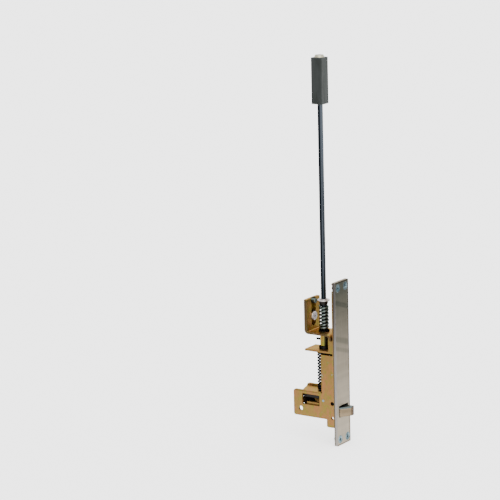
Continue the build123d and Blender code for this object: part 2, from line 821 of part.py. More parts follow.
# Bevelled trigger block
with BuildPart() as trigger_block:
    half = trigger_width / 2
    with BuildSketch(Plane.XY.offset(trigger_bottom)):
        with BuildLine():
            Polyline(
                (-half, tail_front),
                (-half, face_front),
                (half - trigger_nose_width, face_front - trigger_reach),
                (half, face_front - trigger_reach),
                (half, trigger_back),
                (tail_inner, trigger_back),
                (tail_inner, tail_front),
                close=True,
            )
        make_face()
    extrude(amount=trigger_height)
    top_edges = trigger_block.edges().group_by(Axis.Z)[-1].filter_by(GeomType.LINE)
    bevel_edge = top_edges.sort_by_distance((-trigger_nose_width / 2, face_front - trigger_reach / 2, trigger_z))[0]
    chamfer(bevel_edge, trigger_chamfer)
    fillet(trigger_block.edges().filter_by(Axis.Z).group_by(Axis.Y)[0], trigger_corner)
    with BuildSketch(Plane.YZ.offset(tail_inner)):
        with GridLocations(0, rivet_spread, 1, 2):
            with Locations((rivet_y, trigger_z)):
                Circle(rivet_radius + seated)
    extrude(amount=trigger_width / 3, mode=Mode.SUBTRACT)

# Tail plate beside the block: guided by the rivet, and driven by the crank's pin
with BuildPart() as trigger_tail:
    eye_z = (crank_pin_z + crank_pin_high) / 2
    with BuildSketch(Plane.YZ.offset(tail_outer)) as tail_outline:
        with BuildLine():
            Polyline(
                (tail_front, trigger_bottom),
                (trigger_back, trigger_bottom),
                (trigger_back, tail_riser_bottom),
                (tail_riser_back, tail_riser_bottom),
                (tail_riser_back, tail_bar_bottom),
                (crank_pin_y, tail_bar_bottom),
                (crank_pin_y, tail_top),
                (tail_front, tail_top),
                close=True,
            )
        make_face()
        with Locations((crank_pin_y, eye_z)):
            Circle(tail_eye_radius)
        pin_slot = 2 * (crank_pin_radius + play / 2)
        with Locations((crank_pin_y, eye_z)):
            SlotCenterToCenter(crank_pin_high - crank_pin_z, pin_slot, rotation=90, mode=Mode.SUBTRACT)
        with Locations((guide_pin_y - trigger_travel / 2, guide_pin_z)):
            SlotCenterToCenter(trigger_travel, 2 * (guide_pin_radius + play / 2), mode=Mode.SUBTRACT)
        with GridLocations(0, rivet_spread, 1, 2):
            with Locations((rivet_y, trigger_z)):
                Circle(rivet_radius + seated, mode=Mode.SUBTRACT)
    extrude(amount=tail_thickness)

# Two flush rivets that join the tail to the block
with BuildPart() as trigger_rivets:
    with BuildSketch(Plane.YZ.offset(tail_outer)):
        with GridLocations(0, rivet_spread, 1, 2):
            with Locations((rivet_y, trigger_z)):
                Circle(rivet_radius)
    extrude(amount=tail_thickness + trigger_width / 3)

# Bell crank: a long arm with a round nose under the sleeve, and a short arm up to the tail
with BuildPart() as bell_crank:
    crank_plane = Plane.YZ.offset(-crank_thickness / 2)
    with BuildSketch(crank_plane):
        with Locations((pivot_y, pivot_z)):
            Circle(hub_radius)
        with Locations((nose_y, nose_z)):
            Circle(arm_end_radius)
        make_hull()
    extrude(amount=crank_thickness)
    with BuildSketch(crank_plane):
        with Locations((nose_y, nose_z)):
            Circle(nose_radius)
    extrude(amount=crank_thickness)
    with BuildSketch(crank_plane):
        with Locations((pivot_y, pivot_z)):
            Circle(hub_radius)
        with Locations((crank_pin_y, crank_pin_z)):
            Circle(eye_radius)
        make_hull()
    extrude(amount=crank_thickness)
    with BuildSketch(crank_plane):
        with Locations((pivot_y, pivot_z)):
            Circle(pivot_radius + running)
        with Locations((crank_pin_y, crank_pin_z)):
            Circle(crank_pin_radius + seated)
    extrude(amount=crank_thickness, mode=Mode.SUBTRACT)

# Pin from the crank's short arm into the tail's slot
with BuildPart() as crank_pin:
    with BuildSketch(Plane.YZ.offset(tail_outer)):
        with Locations((crank_pin_y, crank_pin_z)):
            Circle(crank_pin_radius)
    extrude(amount=crank_thickness / 2 - tail_outer)

faceplate.part.label = "faceplate"
faceplate_screws.part.label = "faceplate_screws"
near_side_plate.part.label = "near_side_plate"
far_side_plate.part.label = "far_side_plate"
guide_bracket.part.label = "guide_bracket"
guide_rivets.part.label = "guide_rivets"
trigger_guide_rivet.part.label = "trigger_guide_rivet"
crank_pivot.part.label = "crank_pivot"
crank_ring.part.label = "crank_ring"
return_spring.part.label = "return_spring"
slide_bracket.part.label = "slide_bracket"
clamp_plate.part.label = "clamp_plate"
clamp_screw.part.label = "clamp_screw"
clamp_nut.part.label = "clamp_nut"
guide_stud.part.label = "guide_stud"
push_sleeve.part.label = "push_sleeve"
stop_ring.part.label = "stop_ring"
cross_pin.part.label = "cross_pin"
seat_washer.part.label = "seat_washer"
seat_ring.part.label = "seat_ring"
override_seat.part.label = "override_seat"
override_spring.part.label = "override_spring"
rod.part.label = "rod"
spring_collar.part.label = "spring_collar"
collar_washer.part.label = "collar_washer"
collar_clip.part.label = "collar_clip"
bolt_head.part.label = "bolt_head"
bolt_tip.part.label = "bolt_tip"
trigger_block.part.label = "trigger_block"
trigger_tail.part.label = "trigger_tail"
trigger_rivets.part.label = "trigger_rivets"
bell_crank.part.label = "bell_crank"
crank_pin.part.label = "crank_pin"

export_step(faceplate.part, "parts/faceplate.step")
export_step(faceplate_screws.part, "parts/faceplate_screws.step")
export_step(near_side_plate.part, "parts/near_side_plate.step")
export_step(far_side_plate.part, "parts/far_side_plate.step")
export_step(guide_bracket.part, "parts/guide_bracket.step")
export_step(guide_rivets.part, "parts/guide_rivets.step")
export_step(trigger_guide_rivet.part, "parts/trigger_guide_rivet.step")
export_step(crank_pivot.part, "parts/crank_pivot.step")
export_step(crank_ring.part, "parts/crank_ring.step")
export_step(return_spring.part, "parts/return_spring.step")
export_step(slide_bracket.part, "parts/slide_bracket.step")
export_step(clamp_plate.part, "parts/clamp_plate.step")
export_step(clamp_screw.part, "parts/clamp_screw.step")
export_step(clamp_nut.part, "parts/clamp_nut.step")
export_step(guide_stud.part, "parts/guide_stud.step")
export_step(push_sleeve.part, "parts/push_sleeve.step")
export_step(stop_ring.part, "parts/stop_ring.step")
export_step(cross_pin.part, "parts/cross_pin.step")
export_step(seat_washer.part, "parts/seat_washer.step")
export_step(seat_ring.part, "parts/seat_ring.step")
export_step(override_seat.part, "parts/override_seat.step")
export_step(override_spring.part, "parts/override_spring.step")
export_step(rod.part, "parts/rod.step")
export_step(spring_collar.part, "parts/spring_collar.step")
export_step(collar_washer.part, "parts/collar_washer.step")
export_step(collar_clip.part, "parts/collar_clip.step")
export_step(bolt_head.part, "parts/bolt_head.step")
export_step(bolt_tip.part, "parts/bolt_tip.step")
export_step(trigger_block.part, "parts/trigger_block.step")
export_step(trigger_tail.part, "parts/trigger_tail.step")
export_step(trigger_rivets.part, "parts/trigger_rivets.step")
export_step(bell_crank.part, "parts/bell_crank.step")
export_step(crank_pin.part, "parts/crank_pin.step")
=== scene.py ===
import json
from math import cos, hypot, pi, radians, sin

import bmesh
import bpy
from bpy.props import FloatProperty, FloatVectorProperty, PointerProperty
from mathutils import Euler, Matrix, Vector


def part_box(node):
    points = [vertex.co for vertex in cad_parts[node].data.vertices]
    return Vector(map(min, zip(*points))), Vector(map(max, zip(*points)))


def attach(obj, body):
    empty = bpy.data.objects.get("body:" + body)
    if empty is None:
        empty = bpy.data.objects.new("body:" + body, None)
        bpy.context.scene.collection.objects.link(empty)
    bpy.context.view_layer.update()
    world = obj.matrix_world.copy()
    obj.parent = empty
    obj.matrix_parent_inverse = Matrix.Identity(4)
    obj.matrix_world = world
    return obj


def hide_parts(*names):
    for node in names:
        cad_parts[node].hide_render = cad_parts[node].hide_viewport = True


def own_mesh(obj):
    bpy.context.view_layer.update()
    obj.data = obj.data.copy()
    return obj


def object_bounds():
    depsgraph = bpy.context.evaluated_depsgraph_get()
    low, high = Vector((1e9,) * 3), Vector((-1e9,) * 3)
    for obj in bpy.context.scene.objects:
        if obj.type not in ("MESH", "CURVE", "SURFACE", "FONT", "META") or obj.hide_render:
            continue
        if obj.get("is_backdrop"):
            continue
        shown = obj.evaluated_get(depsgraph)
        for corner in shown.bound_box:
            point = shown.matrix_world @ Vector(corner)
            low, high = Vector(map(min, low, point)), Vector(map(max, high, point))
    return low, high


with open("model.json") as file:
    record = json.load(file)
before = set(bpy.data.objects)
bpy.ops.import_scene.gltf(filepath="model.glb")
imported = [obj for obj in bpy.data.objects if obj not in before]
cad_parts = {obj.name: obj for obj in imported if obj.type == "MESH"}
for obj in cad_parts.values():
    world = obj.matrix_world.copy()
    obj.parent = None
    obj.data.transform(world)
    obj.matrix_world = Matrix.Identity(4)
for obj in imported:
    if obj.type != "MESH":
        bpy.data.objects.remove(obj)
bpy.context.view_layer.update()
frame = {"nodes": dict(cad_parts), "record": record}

bl_info = {
    "name": "Automatic flush bolt",
    "version": (1, 0, 0),
    "blender": (4, 5, 0),
    "location": "3D View > Sidebar > Flush bolt",
    "description": "Finishes, springs, screws and studio for an automatic flush bolt",
    "category": "Object",
}


class Field:
    """A socket of a finish, so that maths on its values reads as plain arithmetic."""

    def __init__(self, finish, socket):
        self.finish = finish
        self.socket = socket

    def math(self, operation, *values):
        """Add a Math node on one or two values."""
        return self.finish.node("Math", {"operation": operation}, dict(enumerate(values)))

    def __add__(self, other):
        return self.math("ADD", self, other)

    def __sub__(self, other):
        return self.math("SUBTRACT", self, other)

    def __rsub__(self, other):
        return self.math("SUBTRACT", other, self)

    def __mul__(self, other):
        return self.math("MULTIPLY", self, other)

    def __or__(self, other):
        """The greater of two values."""
        return self.math("MAXIMUM", self, other)

    def __abs__(self):
        return self.math("ABSOLUTE", self)

    __radd__ = __add__
    __rmul__ = __mul__
    __ror__ = __or__


class Finish:
    """A surface finish that is built from nodes on one Principled shader."""

    def __init__(self, name, **constants):
        self.material = bpy.data.materials.new(name + "_finish")
        self.material.use_nodes = True
        self.tree = self.material.node_tree
        self.shader = self.tree.nodes["Principled BSDF"]
        for socket, value in constants.items():
            self.shader.inputs[socket.replace("_", " ")].default_value = value

    def node(self, kind, settings, sockets, output=0):
        """Add a node, with its settings first and then its sockets, and give back one output."""
        node = self.tree.nodes.new("ShaderNode" + kind)
        for setting, value in settings.items():
            setattr(node, setting, value)
        for socket, value in sockets.items():
            self.feed(node.inputs[socket], value)
        return Field(self, node.outputs[output])

    def feed(self, socket, value):
        """Link a field to a socket, or set the socket to a plain value."""
        if isinstance(value, Field):
            self.tree.links.new(value.socket, socket)
        else:
            socket.default_value = value

    def surface(self, **sockets):
        """Feed what changes over the surface to the shader."""
        for socket, value in sockets.items():
            self.feed(self.shader.inputs[socket.replace("_", " ")], value)
        return self.material

    def place(self):
        """Position on the piece in metres, in the CAD frame."""
        return self.node("TexCoord", {}, {}, "Object")

    def axis(self, letter):
        """One coordinate of the position."""
        return self.node("SeparateXYZ", {}, {0: self.place()}, letter)

    def noise(self, size, stretch=(1, 1, 1), detail=3.0):
        """Noise with spots about size metres across, drawn out by stretch."""
        scale = tuple(1 / factor for factor in stretch)
        drawn = self.node("Mapping", {}, {"Vector": self.place(), "Scale": scale})
        return self.node("TexNoise", {}, {"Vector": drawn, "Scale": 1 / size, "Detail": detail})

    def spread(self, value, low, high, to_low=0.0, to_high=1.0):
        """Map a value from one range to another, smoothly and clamped."""
        ends = {"Value": value, "From Min": low, "From Max": high, "To Min": to_low, "To Max": to_high}
        return self.node("MapRange", {"interpolation_type": "SMOOTHSTEP"}, ends)

    def mix(self, share, first, second):
        """Mix two colours."""
        return self.node("Mix", {"data_type": "RGBA"}, {0: share, 6: first, 7: second}, 2)

    def tint(self, share, first, second):
        """Multiply a colour by another, in part."""
        settings = {"data_type": "RGBA", "blend_type": "MULTIPLY"}
        return self.node("Mix", settings, {0: share, 6: first, 7: second}, 2)

    def facing(self, letter):
        """How far the surface of the piece faces along one axis, either way."""
        normal = self.node("TexCoord", {}, {}, "Normal")
        return abs(self.node("SeparateXYZ", {}, {0: normal}, letter))

    def crevices(self, reach):
        """Mask of corners and recesses, where surfaces within reach stand close together."""
        open_share = self.node("AmbientOcclusion", {"samples": 8}, {"Distance": reach}, "AO")
        return self.spread(open_share, 0.75, 0.3)

    def rounded(self, radius):
        """Normal that rounds the edges over a radius."""
        return self.node("Bevel", {"samples": 6}, {"Radius": radius})

    def edges(self, normal):
        """Mask of the edges, where the rounded normal leaves the true one."""
        true_normal = self.node("NewGeometry", {}, {}, "Normal")
        settings = {"operation": "DOT_PRODUCT"}
        along = self.node("VectorMath", settings, {0: normal, 1: true_normal}, "Value")
        return self.spread(along, 0.99, 0.8)

    def bumps(self, height, strength, distance, normal):
        """Normal with small bumps on it."""
        sockets = {"Height": height, "Strength": strength, "Distance": distance, "Normal": normal}
        return self.node("Bump", {}, sockets)


def opaque(colour, factor=1.0):
    """A colour property with full alpha, made lighter or darker by a factor."""
    return tuple(channel * factor for channel in colour) + (1.0,)


def brushed_steel(looks):
    """Satin steel brushed along its length, with soft bands across its upper half, dark edge lines, and
    painted light and shade.
    """
    low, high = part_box("faceplate")
    # Heights between which the plate changes from its painted light to its own tone, and on to its
    # painted shade.
    lit_end, own_start = -0.075, 0.01
    own_end, shaded_start = 0.0, 0.09
    # Height at which the painted shade on the upper sides is full.
    sides_painted_shade = 0.07
    band_slant = 0.33
    # Middle, half height and strength of each soft band.
    soft_bands = ((0.061, 0.004, 0.7), (0.0235, 0.005, 0.75), (0.0135, 0.0035, 0.6))
    # Distances from the plate's edge where a dark line begins and where it is full.
    side_line, side_line_full = 0.0022, 0.0009
    end_line, end_line_full = 0.0016, 0.0007
    # Depths of the brown line of painted shadow and reflected case along the back of the sides, and how
    # much deeper it is at the top.
    back_start, back_full, back_deeper = -0.0014, -0.0008, 0.0006
    finish = Finish("brushed_steel", Metallic=1.0, Specular_Tint=(0.5, 0.48, 0.45, 1.0))
    edge_normal = finish.rounded(0.0003)
    lines = finish.noise(0.00022, (1, 1, 60), 4.0)
    broad = finish.noise(0.004, (1, 1, 12), 2.0)
    bands = finish.noise(0.009, (30, 30, 1), 1.5)
    height = finish.axis("Z")
    # Painted light on the lower part, painted shade on the upper end.
    unlit = finish.spread(height, lit_end, own_start)
    toned = finish.mix(unlit, opaque(looks.steel, 1.3), opaque(looks.steel))
    toned = finish.mix(finish.spread(height, own_end, shaded_start), toned, opaque(looks.steel_painted_shade))
    banding = finish.spread(bands, 0.42, 0.6) * 0.22
    slanted = height + finish.axis("X") * band_slant
    for middle, half, strength in soft_bands:
        banding = banding | finish.spread(abs(slanted - middle), half, half * 0.3, 0.0, strength)
    banded = finish.tint(banding, toned, (0.55, 0.6, 0.61, 1.0))
    streaks = finish.spread(lines * 0.6 + broad * 0.4, 0.35, 0.7) * 0.5
    streaked = finish.tint(streaks, banded, (0.72, 0.71, 0.70, 1.0))
    side = finish.spread(finish.facing("X"), 0.6, 0.9)
    sided = finish.mix(side * 0.8, streaked, opaque(looks.steel_edge))
    # Painted shade on the sides of the upper half.
    upper = finish.spread(height, own_end, sides_painted_shade)
    sided = finish.tint(side * upper * 0.85, sided, (0.42, 0.42, 0.45, 1.0))
    # Painted shadow line, brown with the reflected case, along the back of the sides.
    painted_back_shadow = side * finish.spread(finish.axis("Y") + upper * back_deeper, back_start, back_full)
    sided = finish.mix(painted_back_shadow * 0.85, sided, opaque(looks.gold_painted_shade))
    worn = finish.mix(finish.edges(edge_normal) * 0.5, sided, opaque(looks.steel, 1.25))
    edge_line = finish.spread(finish.axis("X"), high.x - side_line, high.x - side_line_full)
    edge_line = edge_line | finish.spread(height, low.z + end_line, low.z + end_line_full)
    edge_line = edge_line | finish.spread(height, high.z - end_line, high.z - end_line_full)
    front = finish.spread(finish.facing("Y"), 0.5, 0.9)
    worn = finish.tint(edge_line * front * 0.85, worn, (0.28, 0.22, 0.2, 1.0))
    worn = finish.mix(finish.spread(finish.facing("Z"), 0.6, 0.9) * 0.8, worn, opaque(looks.steel))
    return finish.surface(
        Base_Color=worn,
        Roughness=finish.spread(lines, 0.3, 0.7, 0.36, 0.48),
        Normal=finish.bumps(lines, 0.22, 0.00004, edge_normal),
    )


def yellow_zinc(looks, name="yellow_zinc", rough=0.34, own_tone=None):
    """Yellow zinc plate with the faint rainbow tints of its passivation, brown painted shade in its
    corners and brown at its edges.

    own_tone is a function that changes the base colour for one piece.
    """
    finish = Finish(name, Metallic=1.0, Specular_Tint=(1.0, 0.84, 0.56, 1.0))
    edge_normal = finish.rounded(0.0004)
    clouds = finish.noise(0.009, (1, 1, 1.8), 3.0)
    drift = finish.noise(0.005, (1, 1, 1.6), 3.0)
    grain = finish.noise(0.0006, (1, 1, 3), 4.0)
    scuffs = finish.noise(0.0009, (1, 14, 1), 2.0)
    base = finish.mix(finish.spread(clouds, 0.4, 0.62), opaque(looks.gold), opaque(looks.gold_pink))
    base = finish.mix(finish.spread(drift, 0.5, 0.6) * 0.85, base, opaque(looks.gold_olive))
    stains = finish.noise(0.0045, (1, 1, 1.7), 2.0)
    base = finish.mix(finish.spread(stains, 0.69, 0.74) * 0.55, base, opaque(looks.gold_pale))
    base = finish.tint(finish.spread(grain, 0.45, 0.72) * 0.35, base, (0.72, 0.66, 0.6, 1.0))
    if own_tone:
        base = own_tone(finish, base)
    # Brown painted shade in the corners and recesses.
    base = finish.mix(finish.crevices(0.005) * 0.75, base, opaque(looks.gold_painted_shade))
    base = finish.mix(finish.edges(finish.rounded(0.0009)) * 0.5, base, opaque(looks.gold_edge))
    relief = grain * 0.7 + scuffs * 0.3
    return finish.surface(
        Base_Color=base,
        Roughness=finish.spread(clouds * 0.5 + grain * 0.5, 0.35, 0.65, rough, rough + 0.14),
        Normal=finish.bumps(relief, 0.25, 0.00005, edge_normal),
    )


def sheared_zinc(looks):
    """The same plate on the slide bracket, whose sheared side edges are brown."""
    low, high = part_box("slide_bracket")
    half_width = (high.x - low.x) / 2 - 0.0004
    fade = 0.0002

    def cut_edges(finish, base):
        outer = finish.spread(abs(finish.axis("X")), half_width, half_width + fade)
        cut = finish.spread(finish.facing("X"), 0.7, 0.95) * outer
        return finish.mix(cut * 0.9, base, opaque(looks.sheared))

    return yellow_zinc(looks, "sheared_zinc", own_tone=cut_edges)


def turned_zinc(looks):
    """The same plate on the turned and polished push sleeve, greener, with black painted shade and
    painted dark reflection towards the faceplate.
    """
    low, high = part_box("push_sleeve")
    middle = (low.y + high.y) / 2
    radius = (high.y - low.y) / 2

    def painted_shade_front(finish, base):
        greener = finish.tint(1.0, base, (0.95, 1.2, 0.72, 1.0))
        # The front towards the faceplate is painted black: painted shade and dark reflection.
        front = finish.spread(finish.axis("Y"), middle - radius * 0.2, middle - radius * 0.65)
        return finish.mix(front * 0.9, greener, opaque(looks.black))

    return yellow_zinc(looks, "turned_zinc", rough=0.14, own_tone=painted_shade_front)


def plated(name, colour, shade, rough, edge_radius, grain_size=0.0004, stretch=(1, 1, 1), metallic=1.0,
           rim=1.0, top=None, pit=None, nose=None):
    """A plain plated or coated metal with fine grain, cloudy tone and rounded edges.

    top is a painted reflection on its level faces, pit is the painted shade in its recesses, and in front
    of nose it is darker.
    """
    pit_reach = 0.0025
    nose_fade = 0.0004
    finish = Finish(name, Metallic=metallic, Specular_Tint=(rim, rim, rim, 1.0))
    edge_normal = finish.rounded(edge_radius)
    clouds = finish.noise(0.004, stretch, 3.0)
    grain = finish.noise(grain_size, stretch, 4.0)
    base = finish.mix(finish.spread(clouds, 0.38, 0.64), opaque(colour), opaque(shade))
    # Painted reflection on the level faces, in the top colour.
    if top:
        base = finish.mix(finish.spread(finish.facing("Z"), 0.4, 0.65), base, opaque(top))
    base = finish.tint(finish.spread(grain, 0.45, 0.72) * 0.4, base, (0.7, 0.7, 0.7, 1.0))
    base = finish.mix(finish.edges(edge_normal) * 0.35, base, opaque(colour, 1.4))
    # Painted shade in the recesses, in the pit colour.
    if pit:
        base = finish.mix(finish.crevices(pit_reach) * 0.95, base, opaque(pit))
    if nose:
        in_front = finish.spread(finish.axis("Y"), nose, nose - nose_fade)
        base = finish.tint(in_front * 0.8, base, (0.25, 0.2, 0.2, 1.0))
    return finish.surface(
        Base_Color=base,
        Roughness=finish.spread(grain, 0.3, 0.7, rough - 0.06, rough + 0.08),
        Normal=finish.bumps(grain, 0.2, 0.00004, edge_normal),
    )


def zinc_screw(looks):
    """Bright blue zinc on the screws and the trigger guide rivet, with painted shade in the recesses."""
    return plated("zinc_screw", looks.blue_zinc, looks.blue_zinc_shade, 0.3, 0.00015, pit=looks.black)


def dark_steel(looks):
    """Dull dark steel of the trigger's tail, the spring collar and the crank's pins."""
    return plated("dark_steel", looks.dark_steel, looks.dark_steel_shade, 0.42, 0.0002, rim=0.1)


def zinc(looks):
    """Clear zinc plate of the collar's washer and clip, the clamp screw and nut, and hidden rivets."""
    return plated("zinc", looks.zinc, looks.zinc_shade, 0.36, 0.0002)


def grey_zinc(looks):
    """Dull grey-green zinc plate of the override spring and the guide stud."""
    return plated("grey_zinc", looks.grey_zinc, looks.grey_zinc_shade, 0.36, 0.0002, rim=0.15)


def black_steel(looks):
    """Oiled black steel of the return spring, the bell crank, the rings, the cross pin and the seats."""
    return plated("black_steel", looks.black, looks.black_shade, 0.4, 0.0002, rim=0.05)


def dark_rod(looks):
    """Dark zinc on the drawn rod, with fine lines along it, a painted highlight on its front above the
    case and painted shade on the rest.
    """
    low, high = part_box("rod")
    middle = (low.y + high.y) / 2
    # Distances before the rod's middle between which the painted highlight on its front comes in.
    front_start, front_full = 0.0002, 0.0022
    # Heights between which it gains its full strength.
    case_top, clear_of_case = 0.07, 0.10
    finish = Finish("dark_rod", Metallic=1.0)
    edge_normal = finish.rounded(0.0003)
    lines = finish.noise(0.0002, (1, 1, 25), 4.0)
    front = finish.spread(finish.axis("Y"), middle - front_start, middle - front_full)
    front = front * finish.spread(finish.axis("Z"), case_top, clear_of_case, 0.3, 1.0)
    # Painted highlight on the front, and painted shade on the rest of the rod.
    base = finish.mix(front, opaque(looks.rod_painted_shade), opaque(looks.rod))
    base = finish.tint(finish.spread(lines, 0.45, 0.72) * 0.4, base, (0.7, 0.7, 0.7, 1.0))
    return finish.surface(
        Base_Color=base,
        Roughness=finish.spread(lines, 0.3, 0.7, 0.24, 0.38),
        Normal=finish.bumps(lines, 0.2, 0.00004, edge_normal),
    )


def dark_head(looks):
    """Dark satin coat on the square head."""
    return plated("dark_head", looks.head, looks.head_shade, 0.45, 0.0005, grain_size=0.0003,
                  stretch=(1, 1, 6), metallic=0.6)


def pale_tip(looks):
    """Pale dull metal of the tip."""
    return plated("pale_tip", looks.tip, looks.tip_shade, 0.42, 0.0003)


def trigger_metal(looks):
    """Satin metal of the trigger block, ground across its faces, with a painted bluish reflection on top
    and dark at its nose.
    """
    low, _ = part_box("trigger_block")
    nose = low.y + 0.0006
    return plated("trigger_metal", looks.trigger, looks.trigger_shade, 0.36, 0.0004, grain_size=0.0003,
                  stretch=(8, 8, 1), top=looks.trigger_painted_top, nose=nose)


finishes = {
    "brushed_steel": brushed_steel,
    "zinc_screw": zinc_screw,
    "yellow_zinc": yellow_zinc,
    "sheared_zinc": sheared_zinc,
    "turned_zinc": turned_zinc,
    "zinc": zinc,
    "grey_zinc": grey_zinc,
    "black_steel": black_steel,
    "dark_steel": dark_steel,
    "dark_rod": dark_rod,
    "dark_head": dark_head,
    "pale_tip": pale_tip,
    "trigger_metal": trigger_metal,
}


def finish_of(slot, looks):
    """The material of a slot, made the first time that it is asked for."""
    return bpy.data.materials.get(slot + "_finish") or finishes[slot](looks)


def dress(looks, *nodes, variant=None):
    """Give CAD nodes the finish of their material slot in the record, or a variant of it."""
    slots = {part["node"]: part["material_slot"] for part in frame["record"]["subparts"]}
    for name in nodes:
        for material_slot in frame["nodes"][name].material_slots:
            material_slot.material = finish_of(variant or slots[name], looks)


def new_piece(name, bm, slot, looks, body):
    """Turn a bmesh into a piece with its finish, which rides on a body."""
    bmesh.ops.recalc_face_normals(bm, faces=bm.faces)
    mesh = bpy.data.meshes.new(name)
    bm.to_mesh(mesh)
    bm.free()
    mesh.shade_smooth()
    piece = bpy.data.objects.new(name, mesh)
    bpy.context.scene.collection.objects.link(piece)
    mesh.materials.append(finish_of(slot, looks))
    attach(piece, body)
    return piece


def new_card(name, corners, surface):
    """Add a flat card to the stage."""
    bm = bmesh.new()
    bm.faces.new([bm.verts.new(corner) for corner in corners])
    mesh = bpy.data.meshes.new(name)
    bm.to_mesh(mesh)
    bm.free()
    mesh.materials.append(surface)
    card = bpy.data.objects.new(name, mesh)
    bpy.context.scene.collection.objects.link(card)
    card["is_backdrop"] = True
    return card


def travel(name):
    """How far a sliding joint of the record goes."""
    joints = {joint["name"]: joint for joint in frame["record"]["behaviour"]["joints"]}
    low, high = joints[name]["range_m"]
    return high - low


def join_rows(bm, first, second):
    """Join two closed rows of points with faces."""
    count = len(first)
    for side in range(count):
        follower = (side + 1) % count
        bm.faces.new((first[side], second[side], second[follower], first[follower]))


def tube_rings(bm, points, radius, sides):
    """Skin a line of points with rings of a round wire, and close both ends."""
    normal = None
    last = len(points) - 1
    rings = []
    for index, point in enumerate(points):
        heading = (points[min(index + 1, last)] - points[max(index - 1, 0)]).normalized()
        if normal is None:
            normal = heading.orthogonal().normalized()
        else:
            normal = (normal - heading * normal.dot(heading)).normalized()
        across = heading.cross(normal)
        ring = []
        for side in range(sides):
            angle = 2 * pi * side / sides
            ring.append(bm.verts.new(point + (normal * cos(angle) + across * sin(angle)) * radius))
        rings.append(ring)
    bm.faces.new(rings[0])
    for first, second in zip(rings, rings[1:]):
        join_rows(bm, first, second)
    bm.faces.new(rings[-1][::-1])


def spring_points(centre, low, high, coil_radius, wire, turns):
    """Middle line of a compression spring with a closed turn at each end."""
    per_turn = 28
    closed = wire * 1.04
    closed_turns = 0.75
    blend_turns = 0.5
    span = high - low - wire
    both_closed = 2 * closed_turns
    open_pitch = (span - closed * both_closed) / (turns - both_closed)
    rises = []
    for step in range(round(turns * per_turn)):
        turn = (step + 0.5) / per_turn
        from_end = min(turn, turns - turn)
        share = min(max((from_end - closed_turns) / blend_turns, 0), 1)
        share = share * share * (3 - 2 * share)
        rises.append(closed + (open_pitch - closed) * share)
    scale = span / sum(rises)
    height = low + wire / 2
    points = []
    for step, rise in enumerate([0.0] + rises):
        height += rise * scale
        angle = 2 * pi * step / per_turn
        points.append(Vector((coil_radius * cos(angle), centre + coil_radius * sin(angle), height)))
    return points


def cross_pit(x, y, reach, half_width, depth):
    """Depth of a cross recess at a point of a screw's head."""
    wing_taper = 0.3
    end_slope = 0.7
    wall_slope = 0.35
    shallower_out = 0.45
    margins = []
    for along, across in ((abs(x), abs(y)), (abs(y), abs(x))):
        side = half_width * (1 - wing_taper * along / reach) - across
        margins.append(min(side, (reach - along) * end_slope))
    share = min(max(max(margins) / (half_width * wall_slope), 0), 1)
    return depth * share * (1 - shallower_out * min(hypot(x, y) / reach, 1))


def face_height(share):
    """Height of a screw's flat face, which drops a little at its rim, at a share of its radius."""
    rim_start = 0.9
    rim_drop = 0.00005
    return -rim_drop * max(0, share - rim_start) / (1 - rim_start)


def thread_radius(shank, turns, strength):
    """Radius of a threaded shank at a point, from the turns of thread that lead to it."""
    depth = 0.17
    flank = 1.6
    groove = 1 - abs(2 * (turns % 1) - 1)
    return shank * (1 - depth * strength * min(groove * flank, 1))


def closed_row(bm, place, spots):
    """Add points evenly round the Z axis, each with its radius and height."""
    row = []
    for index, (radius, height) in enumerate(spots):
        angle = 2 * pi * index / len(spots)
        row.append(bm.verts.new(place @ Vector((radius * cos(angle), radius * sin(angle), height))))
    return row


def screw_mesh(bm, place, turn, length, sizes):
    """Add a screw whose head faces its own +Z, with a cross recess and a threaded shank."""
    sides = 72
    face_rings = 26
    shoulder = 0.00005
    plain_shank = 0.00015
    steps_per_thread = 10
    # Steps over which the thread comes in and runs out.
    run_in, run_out = 8, 6
    recess = (sizes.recess_reach, sizes.recess_half_width, sizes.recess_depth)
    shank_start = sizes.screw_neck_end + shoulder
    thread_start = shank_start + plain_shank
    under_head = (
        (sizes.screw_neck, -sizes.screw_head_height),
        (sizes.screw_neck, -sizes.screw_neck_end),
        (sizes.screw_shank, -shank_start),
        (sizes.screw_shank, -thread_start),
    )
    centre = bm.verts.new(place @ Vector((0, 0, face_height(0) - cross_pit(0, 0, *recess))))
    rows = []
    for ring in range(1, face_rings + 1):
        radius = sizes.screw_head * ring / face_rings
        spots = []
        for side in range(sides):
            angle = 2 * pi * side / sides - turn
            pit = cross_pit(radius * cos(angle), radius * sin(angle), *recess)
            spots.append((radius, face_height(ring / face_rings) - pit))
        rows.append(closed_row(bm, place, spots))
    for spot in under_head:
        rows.append(closed_row(bm, place, [spot] * sides))
    threaded = length - thread_start
    steps = round(threaded / sizes.screw_pitch * steps_per_thread)
    for step in range(steps + 1):
        height = -thread_start - threaded * step / steps
        strength = min(1, step / run_in, (steps - step) / run_out)
        spots = []
        for side in range(sides):
            turns = height / sizes.screw_pitch + side / sides
            spots.append((thread_radius(sizes.screw_shank, turns, strength), height))
        rows.append(closed_row(bm, place, spots))
    for side in range(sides):
        bm.faces.new((centre, rows[0][side], rows[0][(side + 1) % sides]))
    for upper, lower in zip(rows, rows[1:]):
        join_rows(bm, upper, lower)
    bm.faces.new(rows[-1])


